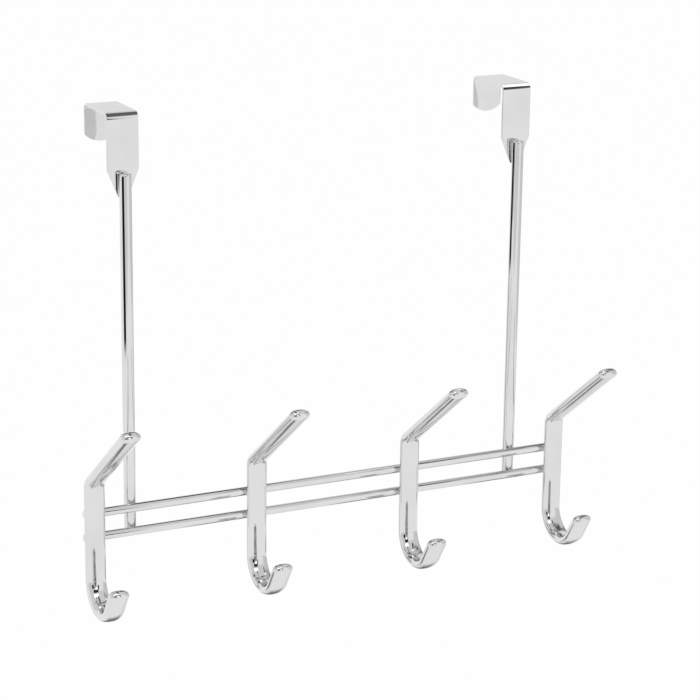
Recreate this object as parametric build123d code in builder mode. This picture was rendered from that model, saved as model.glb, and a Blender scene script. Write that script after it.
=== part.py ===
from build123d import *
import os
from math import radians, tan

# An over-door rack of plated steel: two straps fold over the door's top edge, each carries a round rod,
# and two thin rails welded across the rods carry four double hooks.
# Origin: the door's top front edge, midway between the straps. The door lies behind it, towards +Y.

# Straps over the door
door_slot = 35.0  # clear depth between the front drop and the back tongue
strap_inset = 26.0  # outer hook's centre to the strap's centre
strap_width = 19.0
strap_thickness = 1.5
strap_bend_radius = 2.3  # inside of both folds
front_drop = 31.0  # door's top to the start of the taper
taper_length = 16.0
taper_end_width = 6.0
tongue_drop = 21.2  # door's top to the lowest point of the tongue
tongue_end_radius = 13.0

# Rods
rod_diameter = 7.1
rod_top_gap = 1.7  # start of the strap's taper to the rod's top end
rod_end_chamfer = 0.7

# Rails
rail_diameter = 5.3
rail_drop = 230.5  # door's top to the upper rail's centre
rail_spacing = 14.5
rail_overhang = 5.0  # at each end, past the outer hook's centre
rail_end_chamfer = 0.9

# Hooks, bent from bar that was rolled flat
hook_count = 4
hook_pitch = 102.0
bar_width = 12.4
bar_thickness = 6.6
bar_face_share = 0.42  # of the width that is flat
bar_edge_share = 0.30  # of the thickness that is flat
bar_shoulder_out = 0.78  # of half the width, where the two bevels between those flats meet
bar_shoulder_up = 0.70  # of half the thickness, where they meet
arm_angle = 37.0  # above the horizontal
arm_length = 75.2  # corner of the bend to the domed end
arm_bend_radius = 7.0  # at the middle of the bar
arm_bend_rise = 21.0  # upper rail's centre to the corner of the bend
shank_below_rails = 23.0  # lower rail's centre to the start of the cup
cup_radius = 16.7  # at the middle of the bar
cup_turn = 148.0
cup_tip_length = 13.4  # end of the cup to the domed end

# Each weld presses one piece this far into the other
weld_set_down = 0.35

# Places that follow from those sizes
bar_reach = bar_width / 2
bar_rise = bar_thickness / 2
face_reach = bar_reach * bar_face_share
strap_end = -front_drop - taper_length
rod_y = -strap_thickness - rod_diameter / 2 + weld_set_down
rail_y = rod_y - rod_diameter / 2 - rail_diameter / 2 + weld_set_down
hook_y = rail_y - rail_diameter / 2 - bar_rise + weld_set_down
rail_heights = {"upper": -rail_drop, "lower": -rail_drop - rail_spacing}
rod_top = -front_drop - rod_top_gap
rod_bottom = rail_heights["lower"] - rail_diameter / 2
outer_hook_x = hook_pitch * (hook_count - 1) / 2
hook_places = [hook_pitch * number - outer_hook_x for number in range(hook_count)]
strap_places = {"left": strap_inset - outer_hook_x, "right": outer_hook_x - strap_inset}
rail_reach = outer_hook_x + rail_overhang
cup_top = rail_heights["lower"] - shank_below_rails
bend_turn = 90 - arm_angle
bend_setback = arm_bend_radius * tan(radians(bend_turn / 2))

# Ends are chamfered no further than the stock allows
most_cut = 0.4  # share of the stock's own size
rod_chamfer = min(rod_end_chamfer, most_cut * rod_diameter)
rail_chamfer = min(rail_end_chamfer, most_cut * rail_diameter)

os.makedirs("parts", exist_ok=True)


def keep(piece, name):
    """Label a finished piece, write its file and hand it back."""
    piece.label = name
    export_step(piece, f"parts/{name}.step")
    return piece


# Half of the bar in section, an oval in flats: a broad face, two bevels on each side and half of each edge
with BuildSketch() as bar_half:
    with BuildLine():
        side = Polyline(
            (bar_reach, 0),
            (bar_reach, bar_rise * bar_edge_share),
            (bar_reach * bar_shoulder_out, bar_rise * bar_shoulder_up),
            (face_reach, bar_rise),
        )
        mirror(side, about=Plane.YZ)
        Line((face_reach, bar_rise), (-face_reach, bar_rise))
        Line((bar_reach, 0), (-bar_reach, 0))
    make_face()

# The whole section is swept along the hook, and the half turned about the bar's middle makes a domed end
with BuildSketch() as bar_section:
    add(bar_half.sketch)
    mirror(about=Plane.XZ)

# Hooks: an arm that slopes up and out, a straight shank and a cup below, bent from one bar with domed ends
hooks = []
for number, x in enumerate(hook_places, start=1):
    corner_z = rail_heights["upper"] + arm_bend_rise
    with BuildPart() as hook:
        with BuildLine(Plane.YZ.offset(x)) as bar_path:
            to_end = PolarLine((hook_y, corner_z), arm_length, 180 - arm_angle, mode=Mode.PRIVATE)
            arm = Line(to_end @ 1, to_end @ (bend_setback / arm_length))
            bend = JernArc(arm @ 1, arm % 1, arm_bend_radius, -bend_turn)
            shank = Line(bend @ 1, (hook_y, cup_top))
            cup = JernArc(shank @ 1, shank % 1, cup_radius, -cup_turn)
            tip = Line(cup @ 1, cup @ 1 + (cup % 1) * cup_tip_length)
        arm_end = Plane(arm @ 0, x_dir=(1, 0, 0), z_dir=-(arm % 0))
        tip_end = Plane(tip @ 1, x_dir=(1, 0, 0), z_dir=tip % 1)
        with BuildSketch(arm_end):
            add(bar_section.sketch)
        sweep()
        for end in (arm_end, tip_end):
            with BuildSketch(end):
                add(bar_half.sketch)
            revolve(axis=Axis(end.origin, end.x_dir), revolution_arc=180)
    hooks.append(keep(hook.part, f"hook_{number}"))

# Rails: round wire with chamfered ends, pressed flat where the hooks are welded on in front
rails = []
for level, z in rail_heights.items():
    with BuildPart() as rail:
        with BuildSketch(Plane.YZ.offset(-rail_reach)):
            with Locations((rail_y, z)):
                Circle(rail_diameter / 2)
        extrude(amount=2 * rail_reach)
        chamfer(rail.faces().filter_by(GeomType.PLANE).edges(), length=rail_chamfer)
        add(hooks, mode=Mode.SUBTRACT)
    rails.append(keep(rail.part, f"{level}_rail"))

for side, x in strap_places.items():
    # Straps: a flat strip folded over the door, tapered onto its rod in front and rounded off behind
    with BuildPart() as strap:
        with BuildSketch(Plane.YZ.offset(x - strap_width / 2)) as folded_strip:
            with BuildLine():
                inside = FilletPolyline(
                    (0, strap_end),
                    (0, 0),
                    (door_slot, 0),
                    (door_slot, -tongue_drop),
                    radius=strap_bend_radius,
                )
                offset(inside, amount=strap_thickness, side=Side.LEFT)
            make_face()
        extrude(amount=strap_width)
        with BuildSketch(Plane((x, 0, 0), x_dir=(1, 0, 0), z_dir=(0, -1, 0))) as beside_taper:
            with BuildLine():
                Polyline(
                    (strap_width / 2, -front_drop),
                    (taper_end_width / 2, strap_end),
                    (strap_width / 2, strap_end),
                    close=True,
                )
            make_face()
            mirror(about=Plane.YZ)
        extrude(amount=strap_thickness, mode=Mode.SUBTRACT)
        with BuildSketch(Plane((x, door_slot, -tongue_drop), x_dir=(1, 0, 0), z_dir=(0, 1, 0))) as below_tongue:
            Rectangle(strap_width, tongue_end_radius, align=(Align.CENTER, Align.MAX))
            with Locations((0, -tongue_end_radius)):
                Circle(tongue_end_radius, mode=Mode.SUBTRACT)
        extrude(amount=strap_thickness, mode=Mode.SUBTRACT)
    keep(strap.part, f"{side}_strap")

    # Rods: round bar seated on the strap's tapered end and on the backs of both rails
    with BuildPart() as rod:
        with BuildSketch(Plane.XY.offset(rod_bottom)):
            with Locations((x, rod_y)):
                Circle(rod_diameter / 2)
        extrude(amount=rod_top - rod_bottom)
        chamfer(rod.faces().filter_by(GeomType.PLANE).edges(), length=rod_chamfer)
        add([strap.part, *rails], mode=Mode.SUBTRACT)
    keep(rod.part, f"{side}_rod")
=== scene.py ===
# %% [markdown]
# This lesson dresses an over-door rack of chromed steel. Two flat straps fold over the top of a door, a round rod
# is welded to the front of each, two thin rails cross the rods, and four double hooks are welded to the rails.
# The packed model comes in first. It stays where it is, and every new piece is fitted to its boxes.

# %% Load the rack's frame
from math import asin, cos, pi, radians, sin, tan

import bmesh
import bpy
from mathutils import Matrix, Vector


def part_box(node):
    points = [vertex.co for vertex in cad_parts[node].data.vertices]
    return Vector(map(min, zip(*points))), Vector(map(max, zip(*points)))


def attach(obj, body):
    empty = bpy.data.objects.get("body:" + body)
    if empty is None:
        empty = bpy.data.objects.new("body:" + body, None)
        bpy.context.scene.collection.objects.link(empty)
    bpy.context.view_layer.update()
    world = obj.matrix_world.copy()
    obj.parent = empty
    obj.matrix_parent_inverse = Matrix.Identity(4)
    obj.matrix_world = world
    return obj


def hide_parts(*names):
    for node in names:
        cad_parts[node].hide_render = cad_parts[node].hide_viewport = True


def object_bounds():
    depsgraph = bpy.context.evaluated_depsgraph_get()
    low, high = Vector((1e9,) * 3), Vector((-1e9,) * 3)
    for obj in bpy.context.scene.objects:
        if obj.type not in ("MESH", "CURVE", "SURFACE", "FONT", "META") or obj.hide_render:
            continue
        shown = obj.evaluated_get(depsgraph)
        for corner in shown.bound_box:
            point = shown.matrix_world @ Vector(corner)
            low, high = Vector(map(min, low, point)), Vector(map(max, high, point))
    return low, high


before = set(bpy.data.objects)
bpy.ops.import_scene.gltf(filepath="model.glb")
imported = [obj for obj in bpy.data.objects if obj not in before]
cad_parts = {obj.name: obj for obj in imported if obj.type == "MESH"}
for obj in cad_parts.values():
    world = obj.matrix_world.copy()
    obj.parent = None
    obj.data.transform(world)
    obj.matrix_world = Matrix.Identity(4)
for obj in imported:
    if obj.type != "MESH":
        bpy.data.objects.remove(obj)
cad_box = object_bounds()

MM = 0.001
print("CAD nodes:", sorted(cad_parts))
print("CAD box in mm:", [[round(n / MM, 1) for n in corner] for corner in cad_box])

# %% [markdown]
# Each new piece stands for one node of the packed model and takes its place from that node's box. A size that a box
# can't give, such as the radius of a bend, is written down in the cell that first needs it.

# %% Helpers for measuring
def box_of(node):
    """The low and the high corner of a CAD node's box."""
    return [Vector(corner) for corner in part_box(node)]


def middle_x(node):
    """Where the middle of a CAD node's box lies across the rack."""
    low, high = box_of(node)
    return (low.x + high.x) / 2


sides = ("left", "right")
print("straps' middles in mm:", [round(middle_x(f"{side}_strap") / MM, 1) for side in sides])

# %% [markdown]
# Chrome shows every flat facet, so the straps, rods, rails and hooks are all modelled again with smooth faces.
# Operators act on whatever is selected, and loading leaves the CAD nodes selected. A few helpers therefore do the
# selecting: one clears it, one opens a fresh primitive in edit mode, and one picks points, edges or faces by place.

# %% Helpers for selecting
near = 0.01 * MM  # two places closer than this count as one


def deselect_all():
    """Nothing is selected, so that the next operator acts on the new piece alone."""
    bpy.ops.object.select_all(action="DESELECT")


def open_piece(name):
    """Name the primitive that was just added, set its place into its mesh and open it in edit mode."""
    piece = bpy.context.object
    piece.name = piece.data.name = name
    bpy.ops.object.transform_apply(location=True, rotation=True, scale=True)
    bpy.ops.object.mode_set(mode="EDIT")
    return piece


def pick(piece, kind, wanted):
    """Select the vertices, edges or faces whose middle is wanted, and say how many there are."""
    bpy.ops.mesh.select_mode(type=kind)
    bpy.ops.mesh.select_all(action="DESELECT")
    mesh = bmesh.from_edit_mesh(piece.data)
    count = 0
    for item in {"VERT": mesh.verts, "EDGE": mesh.edges, "FACE": mesh.faces}[kind]:
        corners = [item] if kind == "VERT" else item.verts
        if wanted(sum((corner.co for corner in corners), Vector()) / len(corners)):
            item.select_set(True)
            count += 1
    mesh.select_flush_mode()
    bmesh.update_edit_mesh(piece.data)
    return count


print("selected on loading:", len(bpy.context.selected_objects))

# %% [markdown]
# The same moves come back on every piece: pull what is selected along a line, or swing it round an axis. Extrude
# and spin do that, and each keeps the new end selected, so the moves follow one another as the metal was bent.

# %% Helpers for pulling, bending and closing
merge_reach = 0.002 * MM  # points closer than this become one


def pull(*move):
    """Extrude what is selected by this much."""
    bpy.ops.mesh.extrude_region_move(TRANSFORM_OT_translate={"value": move})


def bend(angle, centre, steps):
    """Spin what is selected about an axis across the rack, as a bending tool does. Spin itself turns clockwise."""
    bpy.ops.mesh.spin(steps=steps, angle=-angle, center=centre, axis=(1, 0, 0))


def close_piece(piece, smooth_angle):
    """Merge doubles, turn the faces outwards, leave edit mode and smooth all but the sharp edges."""
    bpy.ops.mesh.select_all(action="SELECT")
    bpy.ops.mesh.remove_doubles(threshold=merge_reach)
    bpy.ops.mesh.normals_make_consistent(inside=False)
    bpy.ops.object.mode_set(mode="OBJECT")
    bpy.ops.object.shade_smooth_by_angle(angle=smooth_angle)
    print(piece.name, "faces:", len(piece.data.polygons))


print("points merge within mm:", round(merge_reach / MM, 4))

# %% [markdown]
# A strap is one strip of sheet steel: a tongue with a rounded end behind the door, a plate over its top, and a
# front drop that narrows onto the rod. It could be cut out of a block, but folding a strip keeps its thickness
# even. The tongue's rounded end comes first, as the lower part of a circle that a bisect cuts off.

# %% Strap: the tongue's rounded end
round_sides = 96  # of every circle and cylinder, so that no corner shows in an outline
tongue_drop = 21.2 * MM
tongue_radius = 13.0 * MM
strap_low, strap_high = box_of("left_strap")
strap_width = strap_high.x - strap_low.x
strap_thickness = strap_high.z
slot_depth = strap_high.y - strap_thickness
round_middle = Vector((0, slot_depth, tongue_radius - tongue_drop))
deselect_all()
bpy.ops.mesh.primitive_circle_add(
    vertices=round_sides, radius=tongue_radius, location=round_middle, rotation=(pi / 2, 0, 0)
)
strap = open_piece("strap_model")
chord = round_middle.z - tongue_radius * cos(asin(strap_width / 2 / tongue_radius))
bpy.ops.mesh.select_all(action="SELECT")
bpy.ops.mesh.bisect(plane_co=(0, 0, chord), plane_no=(0, 0, 1), clear_outer=True)
print("points along the tongue's round end:", pick(strap, "VERT", lambda at: True))

# %% [markdown]
# The points of the round end are extruded and flattened to a straight row, and the row is then pulled and bent
# along the inside of the strap, as the strip itself is folded. A short step on each side of a fold keeps the flat
# faces flat, because smooth shading spreads a change of direction over the whole face beside it.

# %% Strap: folded over the door
support = 0.4 * MM  # the short step beside a bend
fold_radius = 2.3 * MM
fold_steps = 10
fold_smooth_angle = radians(40)
front_drop = 31.0 * MM
taper_end_width = 6.0 * MM
row = -fold_radius - support
plate = slot_depth - 2 * fold_radius
pull(0, 0, 0)
bpy.ops.transform.translate(value=(0, 0, row - chord))
bpy.ops.transform.resize(value=(1, 1, 0), center_override=(0, 0, row))
pull(0, 0, support)
bend(pi / 2, (0, slot_depth - fold_radius, -fold_radius), fold_steps)
for run in (support, plate - 2 * support, support):
    pull(0, -run, 0)
bend(pi / 2, (0, fold_radius, -fold_radius), fold_steps)
for run in (support, front_drop - fold_radius - support):
    pull(0, 0, -run)
pull(0, 0, strap_low.z + front_drop)
narrowing = taper_end_width / strap_width
bpy.ops.transform.resize(value=(narrowing, 1, 1), center_override=(0, 0, strap_low.z))
close_piece(strap, fold_smooth_angle)

# %% [markdown]
# So far the strap is a sheet with no thickness, which lies on its inside. Solidify adds the thickness on the
# outside, so that the slot keeps its size. A small bevel then eases every sharp edge, as tumbling does on stamped
# steel, and gives the edges the thin lines of light that chrome shows.

# %% Strap: thickness and eased edges
sharp_angle = radians(50)
plate_normals = [face.normal.z for face in strap.data.polygons if abs(face.center.z) < near]
faces_up = min(plate_normals) > 0
sheet = strap.modifiers.new("sheet", "SOLIDIFY")
sheet.thickness = strap_thickness
sheet.offset = 1 if faces_up else -1
sheet.use_even_offset = True
bpy.ops.object.modifier_apply(modifier=sheet.name)
eased = strap.modifiers.new("eased", "BEVEL")
eased.width = 0.3 * MM
eased.segments = 3
eased.angle_limit = sharp_angle
bpy.ops.object.modifier_apply(modifier=eased.name)
bpy.ops.object.mode_set(mode="EDIT")
close_piece(strap, sharp_angle)
print("plate faces up:", faces_up)

# %% [markdown]
# Both straps are alike, so the model is copied to each end of the rack. A copy has its own mesh, holds its place in
# that mesh, and hides the CAD node that it stands for. The model itself is then taken away.

# %% Strap: one for each end
def stand_for(piece, node):
    """The piece rides on the rack's one body and takes the place of a CAD node, which is hidden."""
    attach(piece, "root")
    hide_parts(node)


def copy_to(model, name, node):
    """A copy of the model, moved across the rack to the CAD node that it stands for."""
    copy = model.copy()
    copy.data = model.data.copy()
    copy.name = copy.data.name = name
    bpy.context.collection.objects.link(copy)
    copy.data.transform(Matrix.Translation((middle_x(node), 0, 0)))
    stand_for(copy, node)
    return copy


chromed = [copy_to(strap, f"{side}_door_strap", f"{side}_strap") for side in sides]
bpy.data.objects.remove(strap)
print("straps:", [piece.name for piece in chromed])

# %% [markdown]
# The rods and rails are drawn round bar, cut to length, with the cut ends tumbled smooth. A cylinder is the right
# start for them. Its end faces are picked by place and their edges bevelled in several steps, so that the plating
# seems to run round the ends. A ring of edges is then cut in beside each end: without it, smooth shading would
# spread the turn at the ends over the whole bar, and the reflections along it would bend.

# %% Rods and rails
rod_end_radius = 1.1 * MM
rail_end_radius = 1.3 * MM
end_steps = 8
bar_smooth_angle = radians(60)


def round_bar(name, node, along, end_radius):
    """A round bar that fills a CAD node's box along one axis, with rounded ends."""
    low, high = box_of(node)
    lies_across = along == "X"
    long_axis, thin_axis = (0, 2) if lies_across else (2, 0)
    radius = (high[thin_axis] - low[thin_axis]) / 2
    start, end = low[long_axis], high[long_axis]
    deselect_all()
    bpy.ops.mesh.primitive_cylinder_add(
        vertices=round_sides,
        radius=radius,
        depth=end - start,
        end_fill_type="NGON",
        location=((low.x + high.x) / 2, high.y - radius, (low.z + high.z) / 2),
        rotation=(0, pi / 2 if lies_across else 0, 0),
    )
    bar = open_piece(name)
    ends = pick(bar, "FACE", lambda at: min(abs(at[long_axis] - start), abs(at[long_axis] - end)) < near)
    bpy.ops.mesh.bevel(offset=end_radius, segments=end_steps, affect="EDGES")
    way = Vector((1, 0, 0)) if lies_across else Vector((0, 0, 1))
    for ring in (start + end_radius + support, end - end_radius - support):
        bpy.ops.mesh.select_all(action="SELECT")
        bpy.ops.mesh.bisect(plane_co=way * ring, plane_no=way)
    close_piece(bar, bar_smooth_angle)
    stand_for(bar, node)
    print(name, "diameter in mm:", round(2 * radius / MM, 2), "ends:", ends)
    return bar


for side in sides:
    chromed.append(round_bar(f"{side}_round_rod", f"{side}_rod", "Z", rod_end_radius))
for level in ("upper", "lower"):
    chromed.append(round_bar(f"{level}_cross_rail", f"{level}_rail", "X", rail_end_radius))

# %% [markdown]
# A hook is one length of round bar that was rolled flat, then bent twice. It could be swept along a curve, but
# pulling a section along is closer to how it is made and leaves tidy rings of faces. The section starts as a circle
# as wide as the bar. Each column of its points is squeezed towards the middle, so that the circle becomes a flat
# oval with gently crowned faces and round edges.

# %% Hook: the flat oval of the bar
oval = 2.25  # 2 is an ellipse, and more is squarer
bar_half = 3.3 * MM  # half of its thickness
same_column = 0.001 * MM
hook_low, hook_high = box_of("hook_1")
bar_reach = (hook_high.x - hook_low.x) / 2
inside_edge = 0.999 * bar_reach  # the points at the bar's edges stay where they are
deselect_all()
bpy.ops.mesh.primitive_circle_add(vertices=round_sides, radius=bar_reach, fill_type="NGON")
hook = open_piece("hook_model")
for column in sorted({round(abs(point.co.x), 7) for point in bmesh.from_edit_mesh(hook.data).verts}):
    if column < inside_edge:
        pick(hook, "VERT", lambda at: abs(abs(at.x) - column) < same_column)
        round_height = (bar_reach**2 - column**2) ** 0.5
        oval_height = bar_half * (1 - (column / bar_reach) ** oval) ** (1 / oval)
        bpy.ops.transform.resize(value=(1, oval_height / round_height, 1), center_override=(0, 0, 0))
print("points round the bar:", pick(hook, "VERT", lambda at: True))

# %% [markdown]
# The arm slopes up and out from the shank. The section is turned square to that slope and set at the arm's end,
# where the bar begins. With no window, rotate turns the other way, which is why its angle is negative here.

# %% Hook: the section set at the end of the arm
arm_angle = radians(37)
bend_turn = pi / 2 - arm_angle
shank_y = hook_high.y - bar_half
arm_end = Vector((0, hook_low.y + bar_half, hook_high.z - bar_half))
arm_way = Vector((0, cos(arm_angle), -sin(arm_angle)))
arm_length = (shank_y - arm_end.y) / cos(arm_angle)
bpy.ops.mesh.select_mode(type="FACE")
bpy.ops.mesh.select_all(action="SELECT")
bpy.ops.transform.rotate(value=-bend_turn, orient_axis="X", center_override=(0, 0, 0))
bpy.ops.transform.translate(value=arm_end)
squareness = [abs(face.normal.dot(arm_way)) for face in bmesh.from_edit_mesh(hook.data).faces]
print("section square to the arm:", [round(share, 4) for share in squareness])

# %% [markdown]
# Now the section travels: down the arm, round the bend at its foot, down the shank, round the cup and up the short
# tip. As on the straps, a short step before and after each bend keeps the straight lengths straight.

# %% Hook: pulled and bent along its length
bend_steps, cup_steps = 24, 64
arm_bend_radius = 7.0 * MM
cup_radius = 16.7 * MM
cup_turn = radians(148)
cup_tip = 13.4 * MM
setback = arm_bend_radius * tan(bend_turn / 2)
foot_z = arm_end.z - arm_length * sin(arm_angle) - setback
cup_middle = Vector((0, shank_y - cup_radius, hook_low.z + bar_half + cup_radius))
tip_way = Vector((0, -sin(cup_turn), -cos(cup_turn)))
for run in (support, arm_length - setback - 2 * support, support):
    pull(*(arm_way * run))
bend(-bend_turn, (0, shank_y - arm_bend_radius, foot_z), bend_steps)
for run in (support, foot_z - cup_middle.z - 2 * support, support):
    pull(0, 0, -run)
bend(-cup_turn, cup_middle, cup_steps)
for run in (support, cup_tip - 2 * support, support):
    pull(*(tip_way * run))
tip_end = cup_middle + cup_radius * Vector((0, cos(cup_turn), -sin(cup_turn))) + cup_tip * tip_way
bpy.ops.mesh.select_all(action="SELECT")
bpy.ops.mesh.normals_make_consistent(inside=False)
print("arm in mm:", round(arm_length / MM, 2), "tip ends at:", [round(n / MM, 2) for n in tip_end])

# %% [markdown]
# Both ends of the bar are domed all round. The flat end face is taken away, one half of the ring that it leaves is
# spun over the end by half a turn, and there it meets the other half. Merging the doubles then closes the dome.

# %% Hook: domed ends
dome_steps = 24
dome_reach = 1.1 * bar_half  # takes in the bar's whole half
for end, way in ((arm_end, -arm_way), (tip_end, tip_way)):
    broad_way = way.cross((1, 0, 0))

    def in_half_ring(at):
        """Whether an edge lies in the plane of this end, on one side of the bar's middle."""
        return abs((at - end).dot(way)) < near and 0 < (at - end).dot(broad_way) < dome_reach

    pick(hook, "FACE", lambda at: (at - end).length < near)
    bpy.ops.mesh.delete(type="ONLY_FACE")
    half_ring = pick(hook, "EDGE", in_half_ring)
    bend(pi, end, dome_steps)
    print("edges spun over the end:", half_ring)
close_piece(hook, bar_smooth_angle)

# %% [markdown]
# The four hooks are alike too, and stand evenly along the rails. The model is copied to each place, as the strap was.

# %% Hook: one at each place
hook_numbers = range(1, 5)
for number in hook_numbers:
    chromed.append(copy_to(hook, f"double_hook_{number}", f"hook_{number}"))
bpy.data.objects.remove(hook)
print("chromed pieces:", len(chromed))

# %% [markdown]
# Shader maths reads best as ordinary sums. This class wraps a socket, and each operator adds the Math node it
# needs. The reflected forms let a plain number stand first, as in 1 - mask. One method adds any other kind of node.

# %% Sockets that take part in sums
class Value:
    """A socket of a shader tree that takes part in Python sums."""

    def __init__(self, tree, socket):
        self.tree, self.socket = tree, socket

    def node(self, kind, settings=None, **sockets):
        """Add a node of this kind: settings first, then its sockets' values or links, by name or as i0, i1 and on."""
        made = self.tree.nodes.new(kind)
        for key, value in (settings or {}).items():
            setattr(made, key, value)
        for key, value in sockets.items():
            numbered = key[0] == "i" and key[1:].isdigit()
            plug = made.inputs[int(key[1:]) if numbered else key.replace("_", " ")]
            if isinstance(value, Value):
                self.tree.links.new(value.socket, plug)
            else:
                plug.default_value = value
        return made

    def out(self, made, name=0):
        """One of a node's outputs, ready for sums."""
        return Value(self.tree, made.outputs[name])

    def sum(self, operation, first, second=0.0):
        """The result of a Math node."""
        return self.out(self.node("ShaderNodeMath", {"operation": operation}, i0=first, i1=second))

    def __add__(self, other):
        return self.sum("ADD", self, other)

    __radd__ = __add__

    def __mul__(self, other):
        return self.sum("MULTIPLY", self, other)

    __rmul__ = __mul__

    def __sub__(self, other):
        return self.sum("SUBTRACT", self, other)

    def __rsub__(self, other):
        return self.sum("SUBTRACT", other, self)

    def between(self, low, high):
        """0 below low, 1 above high, and a smooth rise between them."""
        smooth = {"interpolation_type": "SMOOTHSTEP"}
        return self.out(self.node("ShaderNodeMapRange", smooth, Value=self, From_Min=low, From_Max=high))


print("reflected operators:", [name for name in vars(Value) if name.startswith("__r")])

# %% [markdown]
# Chrome plate is bright and close to neutral, and mirrors what is round it. Three things keep it from looking like
# glass: the steel under it is not quite even, so reflections wander a little; polishing leaves fine lines; and
# handling leaves a faint haze in patches. All of it sits on Object coordinates, so the pattern belongs to the metal.

# %% Chrome: its grain
chrome = bpy.data.materials.new("chrome_plate")
chrome.use_nodes = True
tree = chrome.node_tree
on_metal = Value(tree, tree.nodes.new("ShaderNodeTexCoord").outputs["Object"])


def grain(waves, detail, stretch=(1, 1, 1)):
    """Noise on the metal, with this many waves to the metre, stretched along an axis."""
    placed = on_metal.out(on_metal.node("ShaderNodeMapping", Vector=on_metal, Scale=stretch))
    return on_metal.out(on_metal.node("ShaderNodeTexNoise", Vector=placed, Scale=waves, Detail=detail), "Fac")


haze_starts, haze_full = 0.35, 0.75
haze = grain(waves=38.0, detail=3.0).between(haze_starts, haze_full)
wander = grain(waves=45.0, detail=1.0)
polish = grain(waves=1400.0, detail=2.0, stretch=(1, 1, 0.06))
print("nodes in the grain:", len(tree.nodes))

# %% [markdown]
# Each kind of grain goes where it shows on real plating. Haze dulls and greys the mirror in patches, the polishing
# lines roughen it finely, and the uneven steel goes into a very shallow bump, which bends what is mirrored.

# %% Chrome: its finish
clean_rough, haze_rough, polish_rough = 0.035, 0.045, 0.03
wander_height, polish_height = 0.9, 0.012
clean_tint, hazy_tint = (0.740, 0.742, 0.744, 1), (0.700, 0.702, 0.703, 1)
rough = clean_rough + haze_rough * haze + polish_rough * polish
height = wander * wander_height + polish * polish_height
bump = on_metal.node("ShaderNodeBump", Height=height, Strength=0.5, Distance=0.05 * MM)
# In a Mix node set to colour, the two colours are inputs 6 and 7, and the result is output 2
tint = on_metal.node("ShaderNodeMix", {"data_type": "RGBA"}, i0=haze, i6=clean_tint, i7=hazy_tint)
plate_shader = tree.nodes["Principled BSDF"]
tree.links.new(tint.outputs[2], plate_shader.inputs["Base Color"])
tree.links.new(rough.socket, plate_shader.inputs["Roughness"])
tree.links.new(bump.outputs[0], plate_shader.inputs["Normal"])
plate_shader.inputs["Metallic"].default_value = 1.0
for piece in chromed:
    piece.data.materials.clear()
    piece.data.materials.append(chrome)
print("chromed:", [piece.name for piece in chromed])

# %% [markdown]
# The floor and the world are white to the camera and to reflections, as a photographer's white sweep is. The floor
# lies well below the rack, which hangs, and keeps its soft shadow.

# %% Floor
floor_gap = 250 * MM
floor_size = 12
paper_shade = (0.9, 0.9, 0.9, 1)
glow_share = 0.9  # of the white that the camera sees, so that the rest still takes a shadow
floor_z = cad_box[0][2] - floor_gap
deselect_all()
bpy.ops.mesh.primitive_plane_add(size=floor_size, location=(0, 0, floor_z))
floor = bpy.context.object
floor.name = "studio_floor"
paper = bpy.data.materials.new("white_paper")
paper.use_nodes = True
paper_tree = paper.node_tree
paper_tree.nodes.clear()
path = paper_tree.nodes.new("ShaderNodeLightPath")
by_camera, by_gloss, by_glass = (
    Value(paper_tree, path.outputs[f"Is {kind} Ray"]) for kind in ("Camera", "Glossy", "Transmission")
)
seen = by_camera + by_gloss + by_glass
matt = seen.node("ShaderNodeBsdfDiffuse", Color=paper_shade)
glow = seen.node("ShaderNodeEmission", Color=(1, 1, 1, 1), Strength=1.0)
mixed = seen.node("ShaderNodeMixShader", Fac=seen * glow_share, i1=seen.out(matt), i2=seen.out(glow))
seen.node("ShaderNodeOutputMaterial", Surface=seen.out(mixed))
floor.data.materials.append(paper)
print("floor at z in mm:", round(floor_z / MM, 1))

# %% [markdown]
# Chrome on white has no outline of its own, so a photographer stands cards just out of the picture for it to mirror.
# Here each is a plane that only reflections see, and only from the side it faces. It glows with its shade, the
# object's colour,
# and no lamp lights it: a dark card paints shade into the reflections and a bright one paints light. The alpha of
# that colour says how far its edges fade, so that what it draws on the metal fades too. The distance from the edge is
# measured in Object coordinates, which run from -0.5 to 0.5 across a card.

# %% What a card is made of
half_card = 0.5
flag_glow = bpy.data.materials.new("flag_glow")
flag_glow.use_nodes = True
glow_tree = flag_glow.node_tree
glow_tree.nodes.clear()
on_card = Value(glow_tree, glow_tree.nodes.new("ShaderNodeTexCoord").outputs["Object"])
apart = on_card.node("ShaderNodeSeparateXYZ", Vector=on_card)
sideways, upwards = (on_card.sum("ABSOLUTE", on_card.out(apart, axis)) for axis in "XY")
from_edge = half_card - on_card.sum("MAXIMUM", sideways, upwards)
card_info = on_card.node("ShaderNodeObjectInfo")
in_front = 1 - on_card.out(on_card.node("ShaderNodeNewGeometry"), "Backfacing")
cover = from_edge.between(0.0, on_card.out(card_info, "Alpha")) * in_front
# the card glows with its shade: painted light on a bright card, painted shade on a dark one
card_glow = on_card.out(on_card.node("ShaderNodeEmission", Color=on_card.out(card_info, "Color")))
clear = on_card.out(on_card.node("ShaderNodeBsdfTransparent"))
soft = on_card.node("ShaderNodeMixShader", Fac=cover, i1=clear, i2=card_glow)
on_card.node("ShaderNodeOutputMaterial", Surface=on_card.out(soft))
print("nodes in the cloth:", len(glow_tree.nodes))

# %% [markdown]
# Each card has its task. The dark ones draw the lines along the rails and rods, the bands over the straps' folds,
# the painted shading on the arms and cups, and the camera and its stand, which the cups show small. Two bright ones
# glow
# as painted highlights: a window in the cups and the light above the right strap's fold. The large grey ones are the
# walls, curtains and ceiling of the room, which keep the rods and the cups from being plain white, and a grey card on
# the floor paints the shade under the rack into the reflections.

# %% Flags
edge_fade = 0.12  # share of a card over which its edges fade, where it names no other


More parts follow.
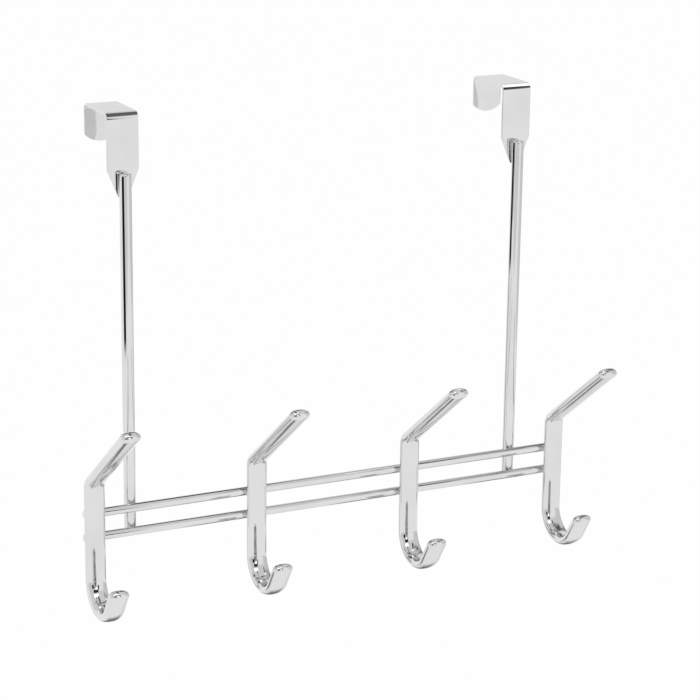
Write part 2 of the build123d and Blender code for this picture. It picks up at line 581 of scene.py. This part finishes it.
def flag(name, shade, centre, facing, width, height, fade=edge_fade):
    """A soft-edged card that only reflections see, square to the way it faces."""
    deselect_all()
    turned = Vector(facing).to_track_quat("Z", "Y").to_euler()
    bpy.ops.mesh.primitive_plane_add(size=1, location=centre, rotation=turned)
    card = bpy.context.object
    card.name = name
    card.scale = (width, height, 1)
    card.color = (shade, shade, shade, fade)
    card.data.materials.append(flag_glow)
    card.visible_camera = card.visible_diffuse = card.visible_shadow = False
    return card


# A name and a shade, the card's middle in metres and the way it faces, its width and height, and its fade
flags = [
    # The lines along the rails, and the wall behind them
    flag("rail_flag", 0.08, (-0.05, 0.125, -0.02), (0, 0, -1), 0.3, 0.26, 0.15),
    flag("rail_middle_flag", 0.5, (0.16, 0.125, -0.021), (0, 0, -1), 0.24, 0.22, 0.2),
    flag("rail_end_flag", 0.12, (0.3, 0.05, -0.02), (0, 0, -1), 0.24, 0.38, 0.4),
    flag("back_wall_flag", 0.87, (0.75, 1.7, 0.45), (-0.4, -0.9, -0.2), 2.6, 1.0),
    # The bands over the straps' folds
    flag("left_fold_flag", 0.14, (-0.049, -0.111, 0.2), (0, 0, -1), 0.07, 0.44),
    flag("right_fold_light", 1.7, (0.159, -0.008, 0.052), (0, 0, -1), 0.056, 0.07, 0.2),
    flag("right_fold_flag", 0.03, (0.2565, -0.18, 0.132), (0, 0.7, -0.7), 0.06, 0.3),
    # What the cups show: the camera, its stand, the ceiling, and a glowing card that paints a window's highlight
    flag("camera_flag", 0.02, (-0.08, -1.2, 0.56), (0, 1, 0), 0.8, 0.52),
    flag("stand_flag", 0.01, (-0.33, -1.19, -0.03), (0.2, 0.97, 0), 0.5, 0.44),
    flag("second_stand_flag", 0.02, (0.24, -1.19, 0.12), (0, 1, 0), 0.13, 0.6),
    flag("window_card", 1.9, (0.06, -1.18, 0.19), (0, 1, 0), 0.26, 0.3),
    flag("ceiling_card", 0.78, (0, 0, 1.9), (0, 0, -1), 7.0, 7.0, 0.15),
    # The lines on the rods, and the darker sides of rods and hooks
    flag("left_rod_flag", 0.01, (-0.1827, -0.0284, -0.095), (0.92, 0.39, 0), 0.056, 0.13),
    flag("right_rod_flag", 0.01, (0.0731, 0.0205, -0.074), (0.906, -0.423, 0), 0.056, 0.118),
    flag("left_back_flag", 0.5, (-0.357, 0.511, -0.25), (0.914, 0.407, 0), 0.9, 0.56),
    flag("right_back_flag", 0.35, (0.75, 0.4, 0), (-0.8, -0.6, 0), 0.3, 1.4),
    flag("arm_flag", 0.4, (0.28, -0.12, 0.065), (0, 0, -1), 0.18, 0.17, 0.35),
    # The room, and a grey card on the floor that paints the shade under the rack into the reflections
    flag("right_curtain", 0.74, (1.43, -0.25, 0.4), (-0.985, 0.17, 0), 2.7, 3.0, 0.2),
    flag("front_curtain", 0.76, (-0.85, -1.36, 0.4), (0.53, 0.85, 0), 2.9, 3.0, 0.2),
    flag("floor_flag", 0.85, (0.25, 0.15, floor_z + 0.02), (0, 0, 1), 0.9, 0.35),
]
print("flags:", [card.name for card in flags])

# %% [markdown]
# The underside of each cup mirrors a little painted shade, which sets it off from the white below. A small grey card
# under every hook, a little to the right of it, paints that shade into the reflection.

# %% Flags under the cups
cup_card_shift, cup_card_y, cup_card_drop = 0.021, 0.01, 0.062
for number in hook_numbers:
    low, _ = box_of(f"hook_{number}")
    under_cup = (middle_x(f"hook_{number}") + cup_card_shift, cup_card_y, low.z - cup_card_drop)
    # a grey card that paints the shade under the cup into its reflection
    flags.append(flag(f"cup_flag_{number}", 0.2, under_cup, (0, 0, 1), 0.066, 0.12, 0.35))
print("flags in all:", len(flags))

# %% [markdown]
# One plain soft box hangs in front of the rack and above it, short of the camera. It lights the rack a little and
# is a white shape that the cups and the domed ends show. An area lamp shines against its own Z axis.

# %% Soft box
box_lamp = bpy.data.lights.new("soft_box", "AREA")
box_lamp.shape = "RECTANGLE"
box_lamp.size, box_lamp.size_y = 0.5, 0.25
box_lamp.energy = 0.6
box_back_way = Vector((0, -0.5, 0.8))
soft_box = bpy.data.objects.new("soft_box", box_lamp)
bpy.context.collection.objects.link(soft_box)
soft_box.location = (-0.15, -0.6, 0.56)
soft_box.rotation_euler = box_back_way.to_track_quat("Z", "Y").to_euler()
print("soft box in W:", round(box_lamp.energy, 2))

# %% [markdown]
# The world is plain white at a strength of 1. It is the background behind the rack, gives even light from all
# sides, and fills the reflections wherever no card stands.

# %% World
world = bpy.data.worlds.new("studio")
bpy.context.scene.world = world
world.use_nodes = True
background = world.node_tree.nodes["Background"]
background.inputs["Color"].default_value = (1, 1, 1, 1)
background.inputs["Strength"].default_value = 1.0
print("world's strength:", background.inputs["Strength"].default_value)

# %% [markdown]
# The camera stands to the left of the rack and above it, with a long lens, as fitted to the photograph's vanishing
# lines and to the places of the hooks and rods.

# %% Camera
photo_pixels = 700
focal_pixels = 2344.54  # the focal length, in the photograph's pixels
sensor = 36
eye = Vector((-579.2, -1223.9, 242.5)) * MM
right_way = Vector((0.90042, -0.43484, 0.01273))
up_way = Vector((0.11062, 0.25717, 0.96002))
back_way = right_way.cross(up_way)
turn = Matrix((right_way, up_way, back_way)).transposed().to_4x4()
lens = bpy.data.cameras.new("photo_lens")
lens.sensor_width = sensor
lens.lens = focal_pixels * sensor / photo_pixels
camera = bpy.data.objects.new("photo_camera", lens)
bpy.context.collection.objects.link(camera)
camera.matrix_world = Matrix.Translation(eye) @ turn
bpy.context.scene.camera = camera
bpy.context.scene.view_settings.view_transform = "Standard"
print("camera at mm:", [round(n / MM) for n in eye])

# %% [markdown] The packed model's box was measured on loading, in the first cell.
